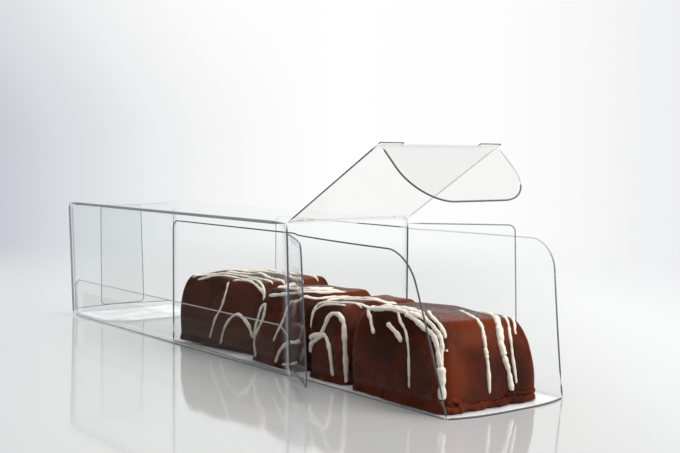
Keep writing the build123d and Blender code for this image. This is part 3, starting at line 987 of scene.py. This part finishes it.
# %% The room's glow
left_to_right = (0.607, 0.795, 0.0)
away_from_box = (-0.795, 0.607, 0.0)
standing_place = (0.3385, -0.2048, 0.0652)
even_grey = (0.90, 0.91, 0.92)


def glow_colour(paint, way):
    """Grey on the left, white in the middle, a little grey on the right, by the slope across / ahead of a
    unit direction. High up the left brightens, and more than 20 degrees aside it turns into even_grey."""
    ahead = paint.dot(way, away_from_box)
    inverse = ahead.maths("DIVIDE", 1.0, ahead.maths("MAXIMUM", ahead, 0.3))
    across = paint.dot(way, left_to_right) * inverse
    up = paint.dot(way, z_axis) * inverse
    lift = 0.093 * paint.smooth(up, 0.0, 0.19) * (1.0 - paint.smooth(across, -0.13, 0.014))
    stops = [
        (0.0, (0.55, 0.57, 0.63)), (0.07, (0.63, 0.65, 0.70)), (0.11, (0.69, 0.71, 0.74)),
        (0.17, (0.74, 0.77, 0.79)), (0.24, (0.83, 0.85, 0.86)), (0.31, (0.90, 0.90, 0.90)),
        (0.40, (0.96, 0.96, 0.96)), (0.50, (1.0, 1.0, 1.0)), (0.73, (0.98, 0.98, 0.98)),
        (0.84, (0.94, 0.94, 0.94)), (0.92, (0.89, 0.89, 0.90)), (1.0, (0.84, 0.86, 0.88)),
    ]
    level = paint.add("MapRange", {"Value": across + lift, "From Min": -0.324, "From Max": 0.32})
    ramp = paint.node("ValToRGB", {0: level})
    elements = ramp.color_ramp.elements
    while len(elements) < len(stops):
        elements.new(0.5)
    for element, (place, colour) in zip(elements, stops):
        element.position = place
        element.color = (*colour, 1)
    glow = Socket(paint, ramp.outputs[0])
    return paint.blend_colours(paint.smooth(ahead, 0.6, 0.93), even_grey, glow)


# %% Table
def seen_rays(paint):
    """1 for what the camera sees, also through film or in a mirror, 0 for light on soft surfaces."""
    names = ("Is Camera Ray", "Is Glossy Ray", "Is Transmission Ray")
    return sum(paint.add("LightPath", output=name) for name in names)


def table_top():
    """White gloss near the box: a pale colour under a soft mirror, with painted light that makes it darker in
    a band through the box and lighter to its left and right. The glow takes over from 0.16 to 0.5 m.
    """
    paint = Paint(bpy.data.materials.new("white table"))
    cloud = paint.noise(3.0, 1.0)
    across = paint.along(left_to_right)
    # Painted light: the floor's colour is lighter to the left and right of the box and darker in the band
    # through it, standing in for uneven lamp light.
    lit = (1.0 - paint.smooth(across, -0.18, 0.06)) + paint.smooth(across, 0.08, 0.17)
    floor_colour_with_painted_light = paint.blend_colours(lit, (0.43, 0.43, 0.43), (0.58, 0.59, 0.585))
    gloss = {"Base Color": floor_colour_with_painted_light, "Roughness": 0.05 + 0.03 * cloud, "IOR": 1.7}
    board = paint.add("BsdfPrincipled", gloss)
    from_eye = paint.vector("SUBTRACT", {0: paint.place(), 1: standing_place})
    glow = glow_colour(paint, paint.vector("NORMALIZE", {0: from_eye}))
    behind_box = paint.smooth(paint.along(away_from_box), -0.1, 0.3)
    light = paint.add("Emission", {"Color": paint.blend_colours(behind_box, even_grey, glow)})
    distance = paint.vector("LENGTH", {0: paint.place()}, "Value")
    return paint.show(paint.mix(paint.smooth(distance, 0.16, 0.5) * seen_rays(paint), board, light))


half_table, below_box = 4000, 0.05
table_flat = rectangle(-half_table, half_table, -half_table, half_table, 4, 4)
new_piece("table", [put(table_flat, (0, 0, -below_box), x_axis, y_axis)], table_top())


# %% Room
def room():
    """The world: its glow to the camera, an even light for soft surfaces, and in mirrors the glow ahead and
    soft windows above and at the right. The rest is dark in mirrors, which keeps the film clear."""
    paint = Paint(bpy.data.worlds.new("room"))
    way = paint.add("TexCoord", output="Generated")
    mirror = paint.add("LightPath", output="Is Glossy Ray")
    seen = paint.add("LightPath", output="Is Camera Ray")
    ahead = paint.smooth(paint.dot(way, away_from_box), 0.45, 0.85)
    up = paint.dot(way, z_axis)
    above = paint.smooth(up, 0.75, 0.95)
    right = paint.smooth(paint.dot(way, (0.78, 0.50, 0.37)), 0.8, 0.95)
    soft = 0.30 + 0.48 * paint.smooth(up, -0.2, 0.9)
    mirrored = 0.07 + 0.93 * ahead + 1.4 * above + 0.8 * right
    strength = soft + seen * (1.0 - soft) + mirror * (mirrored - soft)
    air = paint.add("Background", {"Color": glow_colour(paint, way), "Strength": strength})
    return paint.show(air, "OutputWorld")


scene.world = room()
print("world", scene.world.name)


# %% Lamps and camera
def area_lamp(name, place, target, size, power, colour=(1, 1, 1)):
    """A square soft lamp aimed at a target, both in metres. Mirrors don't show it."""
    lamp = bpy.data.lights.new(name, "AREA")
    lamp.size = size
    lamp.energy = power
    lamp.color = colour
    holder = bpy.data.objects.new(name, lamp)
    holder.location = place
    holder.rotation_euler = (Vector(place) - Vector(target)).to_track_quat("Z", "Y").to_euler()
    holder.visible_glossy = False
    scene.collection.objects.link(holder)
    print(name, power, "watts")


area_lamp("high softbox", (0.1, 0.15, 0.75), (0.05, 0, 0.02), 0.6, 5.0)
area_lamp("right softbox", (0.7, 0.45, 0.35), (0.12, 0.05, 0.0), 0.4, 6.0, (1.0, 0.98, 0.95))

turn_left, look_down, tip = 52.64, 3.79, 0.4
camera = bpy.data.cameras.new("camera")
camera.sensor_width = 36
camera.lens = 58.63
eye = bpy.data.objects.new("camera", camera)
eye.location = standing_place
heading = Matrix.Rotation(math.radians(turn_left), 3, "Z")
pitch = Matrix.Rotation(math.radians(90 - look_down), 3, "X")
roll = Matrix.Rotation(math.radians(tip), 3, "Z")
eye.rotation_euler = (heading @ pitch @ roll).to_euler()
scene.collection.objects.link(eye)
scene.camera = eye
scene.view_settings.view_transform = "Standard"
scene.cycles.max_bounces = 24
scene.cycles.transparent_max_bounces = 64
print("camera at", standing_place)
